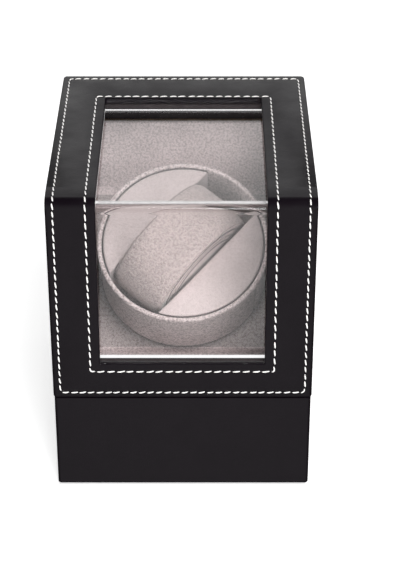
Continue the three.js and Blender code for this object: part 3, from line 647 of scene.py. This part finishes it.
def over_the_lid(side_inset, low, back, corner):
    """A closed line up the lid's front, over the crease and along its top, as points with normals."""
    x = LID_HIGH.x - side_inset
    front, top = LID_LOW.y, LID_HIGH.z
    outward, upward = Vector((0, -1, 0)), Vector((0, 0, 1))
    right = []
    for across, up in arc((x - corner, low + corner), corner, 270, 360, 4):
        right.append((Vector((across, front, up)), outward))
    for step in range(13):
        angle = math.radians(180 - 90 * step / 12)
        normal = Vector((0, math.cos(angle), math.sin(angle)))
        middle = Vector((x, front + CREASE_RADIUS, top - CREASE_RADIUS - CREASE_DROP))
        right.append((middle + normal * CREASE_RADIUS, normal))
    for step in range(1, 6):
        along = front + CREASE_RADIUS + CREASE_FALL * step / 5
        right.append((Vector((x, along, top - crease_drop(along))), upward))
    for across, along in arc((x - corner, back - corner), corner, 0, 90, 4):
        right.append((Vector((across, along, top)), upward))
    left = [(Vector((-point.x, point.y, point.z)), normal) for point, normal in reversed(right)]
    return right + left


class Route:
    """A closed line of points with normals, read by its length."""

    def __init__(self, stops):
        self.stops = stops + stops[:1]
        self.lengths = [0.0]
        for (start, _), (end, _) in zip(self.stops, self.stops[1:]):
            self.lengths.append(self.lengths[-1] + (end - start).length)

    def at(self, distance):
        """The point and normal at a distance along the line."""
        distance %= self.lengths[-1]
        index = max(i for i, length in enumerate(self.lengths[:-1]) if length <= distance)
        span = self.lengths[index + 1] - self.lengths[index]
        share = (distance - self.lengths[index]) / span if span else 0.0
        (start, n_start), (end, n_end) = self.stops[index], self.stops[index + 1]
        return start.lerp(end, share), n_start.lerp(n_end, share).normalized()


def stitch_rings(line, start, length, tilt):
    """The rings of one raised thread, which dives into the leatherette at each end."""
    rings = []
    for ring in range(STITCH_RINGS):
        share = ring / (STITCH_RINGS - 1)
        point, normal = line.at(start + length * share)
        ahead, _ = line.at(start + length * share + 0.2)
        forward = (ahead - point).normalized()
        across = normal.cross(forward).normalized()
        rise = THREAD_RADIUS * (0.95 * math.sin(math.pi * share) ** 0.6 - 0.5)
        centre = point + normal * rise + across * tilt * (share - 0.5) * 2
        girth = THREAD_RADIUS * (0.45 + 0.55 * math.sin(math.pi * share) ** 0.5)
        rings.append([
            centre + (across * math.cos(turn) * 1.1 + normal * math.sin(turn)) * girth
            for turn in (2 * math.pi * side / STITCH_SIDES for side in range(STITCH_SIDES))
        ])
    return rings


def stitch_line(name, route, pitch, seed):
    """Saddle stitches along a closed route on the lid, no two quite alike in length, place and slant."""
    dice = random.Random(seed)
    line = Route(route)
    count = round(line.lengths[-1] / pitch)
    step = line.lengths[-1] / count
    shape = bmesh.new()
    for index in range(count):
        length = step * STITCH_FILL * dice.uniform(0.94, 1.05)
        start = step * index + dice.uniform(-0.05, 0.05) * step
        tilt = STITCH_SLANT * dice.uniform(0.6, 1.3)
        loops = ring_skin(shape, stitch_rings(line, start, length, tilt))
        shape.faces.new(loops[0])
        shape.faces.new(loops[-1])
    mesh = mesh_from(name, shape, smooth=80)
    return place_piece(name, mesh, [THREAD], "lid")


def stitching():
    """The two lines of stitching on the lid: one inside its edges and one round the window."""
    outer = over_the_lid(OUTER_SIDE, LID_LOW.z + OUTER_LOW, LID_HIGH.y - OUTER_BACK, OUTER_CORNER)
    stitch_line("outer_stitching", outer, OUTER_PITCH, seed=3)
    side_inset = LID_HIGH.x - WINDOW_HALF - INNER_SIDE
    inner = over_the_lid(side_inset, WINDOW_BOTTOM - INNER_LOW, WINDOW_BACK + INNER_BACK, INNER_CORNER)
    stitch_line("window_stitching", inner, INNER_PITCH, seed=7)


# ---------------------------------------------------------------------- window

def window_pane():
    """One acrylic sheet, bent over the front top edge; its cut edges glow with painted light and its bend carries
    a painted highlight.
    """
    front, top = PANE_LOW.y, PANE_HIGH.z
    outer_bend = arc((front + PANE_BEND, top - PANE_BEND), PANE_BEND, 180, 90, 16)
    inner_bend = arc((front + PANE_BEND, top - PANE_BEND), PANE_BEND - PANE_THICKNESS, 90, 180, 16)
    low, back = PANE_LOW.z, PANE_HIGH.y
    outline = [
        (front, low),
        (front, low + GLOW_FRONT),
        *outer_bend,
        (back - GLOW_BACK, top),
        (back, top),
        (back, top - PANE_THICKNESS),
        *inner_bend,
        (front + PANE_THICKNESS, low),
    ]
    shape = bmesh.new()
    extrude_outline(shape, outline, PANE_LOW.x, PANE_HIGH.x)
    for face in shape.faces:
        middle = face.calc_center_median()
        # Cut edges and the thin strips beside them get the painted glow; the top of the outer bend gets the
        # painted highlight.
        glowing = middle.z < low + GLOW_FRONT or middle.y > back - GLOW_BACK or len(face.verts) > 4
        highlighted = middle.z > top - BEND_HIGHLIGHT_DEPTH and middle.y < front + PANE_BEND
        face.material_index = 1 if glowing else 2 if highlighted else 0
    mesh = mesh_from("bent_window", shape, smooth=40)
    return place_piece("bent_window", mesh, [ACRYLIC, GLOWING_EDGE, BEND_HIGHLIGHT], "lid", ["window_pane"])


# ---------------------------------------------------------------------- velvet lining

def fold(before, corner, after, radius):
    """Points that round a corner between two neighbours, as a quadratic curve."""
    corner, before, after = Vector(corner), Vector(before), Vector(after)
    start = corner + (before - corner).normalized() * radius
    end = corner + (after - corner).normalized() * radius
    points = []
    for share in (step / 6 for step in range(7)):
        points.append(start * (1 - share) ** 2 + corner * 2 * share * (1 - share) + end * share ** 2)
    return points


def open_shaft_hole(shape):
    """Opens a round hole in the lining, where the drum's shaft comes through."""
    to_drum = DRUM_FRAME.inverted()
    inside = [vert for vert in shape.verts if (to_drum @ vert.co).xy.length < SHAFT_HOLE]
    edge = {other for vert in inside for face in vert.link_faces for other in face.verts} - set(inside)
    bmesh.ops.delete(shape, geom=inside, context="VERTS")
    for vert in edge:
        spot = to_drum @ vert.co
        rim = spot.xy.normalized() * SHAFT_HOLE
        vert.co = DRUM_FRAME @ Vector((rim.x, rim.y, spot.z))


def slope_height(y):
    """The slope's height at a distance behind the middle of the case."""
    return DRUM_CENTRE.z + (SLOPE_LEVEL + math.sin(DRUM_LEAN) * (y - DRUM_CENTRE.y)) / math.cos(DRUM_LEAN)


def slope_foot():
    """Where the slope meets the ledge."""
    drop = math.cos(DRUM_LEAN) * (LEDGE_TOP - DRUM_CENTRE.z) - SLOPE_LEVEL
    return DRUM_CENTRE.y + drop / math.sin(DRUM_LEAN)


def lining_line():
    """The lining seen from the side: over the ledge, up the slope and up the back board, with soft folds."""
    corners = [
        (VELVET_LOW.y, LEDGE_TOP),
        (slope_foot(), LEDGE_TOP),
        (BACK_FACE, slope_height(BACK_FACE)),
        (BACK_FACE, VELVET_HIGH.z),
    ]
    line = [Vector(corners[0])]
    line += fold(*corners[:3], LEDGE_FOLD)
    line += fold(*corners[1:], BACK_FOLD)
    line.append(Vector(corners[3]))
    dense = []
    for start, end in zip(line, line[1:]):
        pieces = max(1, int((end - start).length / LINING_STEP))
        dense += [start.lerp(end, share / pieces) for share in range(pieces)]
    return dense + line[-1:]


def lining_row(line, index):
    """Points across the lining at one point of its line, with the gentle swell of glued cloth."""
    point = line[index]
    ahead = line[min(index + 1, len(line) - 1)]
    behind = line[max(index - 1, 0)]
    along = (ahead - behind).normalized()
    normal = Vector((-along.y, along.x))
    row = []
    for column in range(LINING_COLUMNS + 1):
        x = VELVET_LOW.x + (VELVET_HIGH.x - VELVET_LOW.x) * column / LINING_COLUMNS
        swell = noise.noise(Vector((x * 0.05, point.x * 0.05, point.y * 0.05))) * LINING_SWELL
        lifted = point + normal * (swell - LINING_SINK)
        row.append((x, lifted.x, lifted.y))
    return row


def console_velvet():
    """The velvet over the ledge, the slope and the back board, in one length."""
    line = lining_line()
    shape = bmesh.new()
    rows = [[shape.verts.new(point) for point in lining_row(line, index)] for index in range(len(line))]
    for lower, upper in zip(rows, rows[1:]):
        for index in range(LINING_COLUMNS):
            shape.faces.new((lower[index], lower[index + 1], upper[index + 1], upper[index]))
    open_shaft_hole(shape)
    foot = slope_foot()
    for face in shape.faces:
        # Faces on the slope take the darker copy of the velvet: painted shade.
        face.material_index = int(foot + 1 < face.calc_center_median().y < BACK_FACE - 2)
    mesh = mesh_from("velvet_lining", shape, smooth=60)
    piece = place_piece("velvet_lining", mesh, [VELVET, SHADED_SLOPE_VELVET], "base", ["console_velvet"])
    thick = piece.modifiers.new("thickness", "SOLIDIFY")
    thick.thickness = VELVET_THICKNESS * MM
    thick.offset = 1.0
    return piece


# ---------------------------------------------------------------------- drum

def cup_profile():
    """The cup's closed profile of (radius, z): underside, foot, wall, rolled rim, inner wall and floor."""
    rim_middle = (CUP_RIM + CUP_INNER) / 2
    rim_round = (CUP_RIM - CUP_INNER) / 2
    floor, foot = CUP_FLOOR - CUP_DEPTH, CUP_BACK - CUP_FOOT
    under = [(CUP_HOLE, -CUP_DEPTH), (CUP_BACK * 0.5, -CUP_DEPTH), (foot, -CUP_DEPTH)]
    turn_in = arc((foot, -CUP_DEPTH + CUP_FOOT), CUP_FOOT, -72, -18, 3)
    wall = [
        (CUP_BACK + (CUP_RIM - CUP_BACK) * share, -CUP_DEPTH + CUP_FOOT + (CUP_DEPTH - 2 * CUP_FOOT) * share)
        for share in (step / 14 for step in range(14))
    ]
    rim = arc((rim_middle, -rim_round), rim_round, 0, 180, 10)
    inside = [(CUP_INNER, -rim_round + (floor + rim_round) * share) for share in (0.25, 0.5, 0.75, 1.0)]
    return under + turn_in + wall + rim + inside + [(CUP_INNER * 0.5, floor), (CUP_HOLE, floor)]


def seam_relief(angle, radius, z):
    """How far the seam lifts the cup's outer wall, or sinks it: a groove beside the overlapped edge."""
    if radius < CUP_BACK - 0.6 or z > SEAM_TOP:
        return 0.0
    away = (angle - SEAM_ANGLE + math.pi) % (2 * math.pi) - math.pi
    distance = away * radius
    groove = -GROOVE_DEPTH * math.exp(-((distance / GROOVE_WIDTH) ** 2))
    overlap = OVERLAP_HEIGHT * math.exp(-(((distance - OVERLAP_PLACE) / OVERLAP_WIDTH) ** 2))
    return groove + overlap


def drum_cup():
    """The cup under its velvet: rolled rim, sewn seam down the wall and a soft inner wall."""
    shape = bmesh.new()
    ring_skin(shape, turned_rings(cup_profile(), CUP_SEGMENTS, seam_relief), closed=True)
    for face in shape.faces:
        middle = face.calc_center_median()
        outside = middle.xy.length > CUP_BACK - 1.5 and middle.z < SEAM_TOP
        on_seam = abs(math.atan2(middle.y, middle.x) - SEAM_ANGLE) < math.pi / CUP_SEGMENTS
        # The faces down the seam's groove take the dark seam velvet: painted shade.
        face.material_index = int(outside and on_seam)
    mesh = mesh_from("velvet_cup", shape, DRUM_FRAME, smooth=50)
    return place_piece("velvet_cup", mesh, [CUP_VELVET, SEAM_SHADE_VELVET], "drum", ["drum_cup"])


def pad_outline():
    """A pad's outline about the cup's middle: the cup's arc beyond the slot, and its straight side."""
    reach = math.acos(SLOT_HALF / PAD_RADIUS)
    angles = [reach - 2 * reach * step / PAD_ARC_STEPS for step in range(PAD_ARC_STEPS + 1)]
    curve = [(PAD_RADIUS * math.sin(angle), PAD_RADIUS * math.cos(angle)) for angle in angles]
    start, end = Vector(curve[-1]), Vector(curve[0])
    side = [tuple(start.lerp(end, step / PAD_SIDE_STEPS)) for step in range(1, PAD_SIDE_STEPS)]
    return curve + side


def inset_outline(points, inset):
    """An outline moved inwards, point by point, along the average normal of its two sides."""
    moved = []
    count = len(points)
    for index, point in enumerate(points):
        here = Vector(point)
        before = (here - Vector(points[index - 1])).normalized()
        after = (Vector(points[(index + 1) % count]) - here).normalized()
        bisector = Vector((-(before.y + after.y), before.x + after.x))
        scale = inset / max(0.35, bisector.length / 2)
        moved.append(here + bisector.normalized() * scale)
    return moved


def pad_rings(outline, centre, seed):
    """A pad's rings: its upright wall, its rounded edge, and its rippled crown up to near the centre."""
    levels = [PAD_BOTTOM + 8 * step for step in range(4)] + [PAD_TOP - PAD_ROUND - 0.4]
    rings = [[Vector((x, y, z)) for x, y in outline] for z in levels]
    for angle in (math.radians(90 * step / 5) for step in range(1, 6)):
        inset = PAD_ROUND * (1 - math.cos(angle))
        z = PAD_TOP - PAD_ROUND + PAD_ROUND * math.sin(angle)
        rings.append([Vector((x, y, z)) for x, y in inset_outline(outline, inset)])
    flat = inset_outline(outline, PAD_ROUND)
    for share in (0.12, 0.28, 0.45, 0.62, 0.78, 0.9):
        ring = []
        for x, y in flat:
            spot = Vector((x, y)).lerp(centre, share)
            lift = PAD_CROWN * (1 - (1 - share) ** 3)
            ripple = PAD_RIPPLE * noise.noise(Vector((spot.x * 0.09, spot.y * 0.09, seed)))
            ring.append(Vector((spot.x, spot.y, PAD_TOP + lift + ripple * share)))
        rings.append(ring)
    return rings


def close_to_point(shape, loop, tip):
    """A fan of faces from a loop of vertices to a point."""
    middle = shape.verts.new(tip)
    for index, vert in enumerate(loop):
        shape.faces.new((vert, loop[(index + 1) % len(loop)], middle))


def cushion_pad(name, node, turn, seed):
    """A foam pad under velvet: a segment of the cup's circle with soft edges and a slight crown."""
    outline = pad_outline()
    centre = Vector((0, sum(y for _, y in outline) / len(outline)))
    shape = bmesh.new()
    loops = ring_skin(shape, pad_rings(outline, centre, seed))
    shape.faces.new(loops[0])
    close_to_point(shape, loops[-1], (centre.x, centre.y, PAD_TOP + 0.3))
    matrix = DRUM_FRAME @ Matrix.Rotation(SLOT_ANGLE + turn, 4, "Z")
    mesh = mesh_from(name, shape, matrix, smooth=60)
    piece = place_piece(name, mesh, [PAD_VELVET], "drum", [node])
    return piece


# ---------------------------------------------------------------------- watch pillow

def pillow_point(angle, across, scale):
    """A point on the pillow: angle round its oval, distance across the slot, and size of the oval there."""
    along = PILLOW_MIDDLE[0] + PILLOW_ALONG * scale * math.cos(angle)
    height = PILLOW_MIDDLE[1] + PILLOW_DEPTH * scale * math.sin(angle)
    return Vector((along, across, height))


def pillow_layers():
    """The pillow from side to side: each layer's distance across the slot, and the size of its oval."""
    panel = []
    for share in (0.0, 0.25, 0.5, 0.75, 1.0):
        bulge = PANEL_BULGE * (1 - share ** 2)
        panel.append((PILLOW_HALF - PANEL_INSET + bulge, share * PANEL_SIZE))
    band = []
    for column in range(BAND_COLUMNS + 1):
        share = -1 + 2 * column / BAND_COLUMNS
        crown = 0.985 + 0.015 * (1 - share ** 2) - 0.05 * abs(share) ** 14
        band.append((share * (PILLOW_HALF - BAND_INSET), crown))
    return [(-across, scale) for across, scale in panel] + band + panel[::-1]


def pillow_ring(across, scale):
    """Points round one layer of the pillow. The velvet band is a little uneven."""
    ring = []
    for turn in range(PILLOW_TURNS):
        angle = 2 * math.pi * turn / PILLOW_TURNS
        dent = 0.0
        if scale > 0.9:
            spot = Vector((math.cos(angle) * 1.6, math.sin(angle) * 1.6, across * 0.05))
            dent = 0.006 * noise.noise(spot)
        ring.append(pillow_point(angle, across, scale + dent))
    return ring


def choose_pillow_velvets(shape):
    """The band has the first velvet, both side panels the second, a lighter copy that is painted light, and the
    left side's edge the third, dark velvet that is painted shade.
    """
    for face in shape.faces:
        middle = face.calc_center_median()
        along = (middle.x - PILLOW_MIDDLE[0]) / PILLOW_ALONG
        height = (middle.z - PILLOW_MIDDLE[1]) / PILLOW_DEPTH
        on_panel = math.hypot(along, height) < PANEL_SIZE
        # Painted light on the side panels, painted shade on the left edge.
        face.material_index = 1 if on_panel else 2 if middle.y > PILLOW_HALF - SHADED_EDGE else 0


def watch_pillow():
    """The oval watch pillow: a crowned velvet band, and side panels with their piping and dark seam cords of
    painted shade.
    """
    layers = pillow_layers()
    shape = bmesh.new()
    loops = ring_skin(shape, [pillow_ring(across, scale) for across, scale in layers[1:-1]])
    for loop, (across, _) in ((loops[0], layers[0]), (loops[-1], layers[-1])):
        close_to_point(shape, loop, pillow_point(0, across, 0.0))
    choose_pillow_velvets(shape)
    matrix = DRUM_FRAME @ Matrix.Rotation(SLOT_ANGLE, 4, "Z")
    mesh = mesh_from("velvet_pillow", shape, matrix, smooth=70)
    velvets = [PILLOW_VELVET, LIT_SIDE_VELVET, SEAM_SHADE_VELVET]
    pillow = place_piece("velvet_pillow", mesh, velvets, "pillow", ["watch_pillow"])
    ring_piece("pillow_piping", PILLOW_VELVET, matrix, PIPING)
    ring_piece("pillow_seam_shade_lines", SEAM_SHADE_VELVET, matrix, SHADE_SEAMS)
    return pillow


def cord_rings(across, scale, radius):
    """Rings of points round one cord, which follows the pillow's oval."""
    rings = []
    for turn in range(PILLOW_TURNS):
        angle = 2 * math.pi * turn / PILLOW_TURNS
        centre = pillow_point(angle, across, scale)
        outward = (pillow_point(angle, across, 1.0) - centre).normalized()
        rings.append([
            centre
            + outward * radius * math.cos(2 * math.pi * side / CORD_SIDES)
            + Vector((0, 1, 0)) * radius * math.sin(2 * math.pi * side / CORD_SIDES)
            for side in range(CORD_SIDES)
        ])
    return rings


def ring_piece(name, finish, matrix, cords):
    """Thin cords round both sides of the pillow, as one piece."""
    shape = bmesh.new()
    for depth, scale, radius in cords:
        for side in (-1, 1):
            ring_skin(shape, cord_rings(side * (PILLOW_HALF - depth), scale, radius), closed=True)
    mesh = mesh_from(name, shape, matrix, smooth=70)
    return place_piece(name, mesh, [finish], "pillow")


# ---------------------------------------------------------------------- stage

def white_floor():
    """A plain white floor with a faint glow, so that it fades into the backdrop."""
    sweep, _, shader = new_material("white_sweep", Roughness=0.9, Specular_IOR_Level=0.1)
    shader.inputs["Base Color"].default_value = (0.93, 0.93, 0.93, 1)
    shader.inputs["Emission Color"].default_value = (1, 1, 1, 1)
    shader.inputs["Emission Strength"].default_value = FLOOR_GLOW
    shape = bmesh.new()
    bmesh.ops.create_grid(shape, x_segments=1, y_segments=1, size=FLOOR_HALF)
    mesh = bpy.data.meshes.new("floor")
    shape.to_mesh(mesh)
    shape.free()
    mesh.materials.append(sweep)
    floor = bpy.data.objects.new("floor", mesh)
    floor.visible_glossy = False
    bpy.context.collection.objects.link(floor)


def studio_light():
    """A dim world with a bright backdrop behind the case and a softer glow in front of it."""
    world = bpy.data.worlds.new("studio")
    bpy.context.scene.world = world
    world.use_nodes = True
    tree = world.node_tree
    direction = tree.nodes.new("ShaderNodeTexCoord")
    towards = tree.nodes.new("ShaderNodeVectorMath")
    towards.operation = "DOT_PRODUCT"
    towards.inputs[1].default_value = (0, math.cos(BACKDROP_RISE), math.sin(BACKDROP_RISE))
    tree.links.new(direction.outputs["Generated"], towards.inputs[0])
    wall = spread(tree, towards.outputs["Value"], 0.06, 0.92, 0.79, 0.985)
    front = spread(tree, towards.outputs["Value"], 0.56, 0.0, -1.0, -0.55)
    glow = tree.nodes.new("ShaderNodeMath")
    glow.operation = "ADD"
    tree.links.new(wall, glow.inputs[0])
    tree.links.new(front, glow.inputs[1])
    tree.links.new(glow.outputs["Value"], tree.nodes["Background"].inputs["Strength"])
    tree.nodes["Background"].inputs["Color"].default_value = (1, 1, 1, 1)


def soft_lamps():
    """Square lamps that point at the case and do not show in glossy surfaces."""
    for name, spot, size, power in LAMPS:
        data = bpy.data.lights.new(name, "AREA")
        data.shape = "SQUARE"
        data.size = size
        data.energy = power
        lamp = bpy.data.objects.new(name, data)
        lamp.location = spot
        lamp.visible_glossy = False
        lamp.rotation_euler = (LAMP_TARGET - spot).to_track_quat("-Z", "Y").to_euler()
        bpy.context.collection.objects.link(lamp)


def photo_camera():
    """The camera, in front of the case and above it."""
    lens = bpy.data.cameras.new("camera")
    lens.lens = LENS
    lens.sensor_width = SENSOR
    camera = bpy.data.objects.new("camera", lens)
    camera.location = CAMERA_PLACE
    camera.rotation_euler = (math.radians(CAMERA_TILT), 0, 0)
    bpy.context.collection.objects.link(camera)
    bpy.context.scene.camera = camera
    bpy.context.scene.view_settings.view_transform = "Standard"


# ---------------------------------------------------------------------- everything together

def paint_frame():
    """Gives every CAD node its finish."""
    for part in frame["record"]["subparts"]:
        node = frame["nodes"][part["node"]]
        finish = SLOT_MATERIALS[part["material_slot"]]
        if not node.material_slots:
            node.data.materials.append(finish)
        for entry in node.material_slots:
            entry.material = finish


def refine_fittings():
    """Smooth shading on every CAD node, and broken edges on the metal and plastic fittings that show."""
    for name, node in frame["nodes"].items():
        node.data.shade_smooth()
        node.data.set_sharp_from_angle(angle=math.radians(32))
        if name in BROKEN_EDGES:
            edge = node.modifiers.new("broken_edge", "BEVEL")
            edge.width = BROKEN_EDGES[name] * MM
            edge.segments = 2
            edge.limit_method = "ANGLE"
            edge.angle_limit = math.radians(40)


white_floor()
studio_light()
soft_lamps()
photo_camera()
paint_frame()
refine_fittings()
lid_skin()
base_skin()
stitching()
window_pane()
console_velvet()
drum_cup()
cushion_pad("left_pad", "pad_left", 0.0, 2.0)
cushion_pad("right_pad", "pad_right", math.pi, 5.0)
watch_pillow()
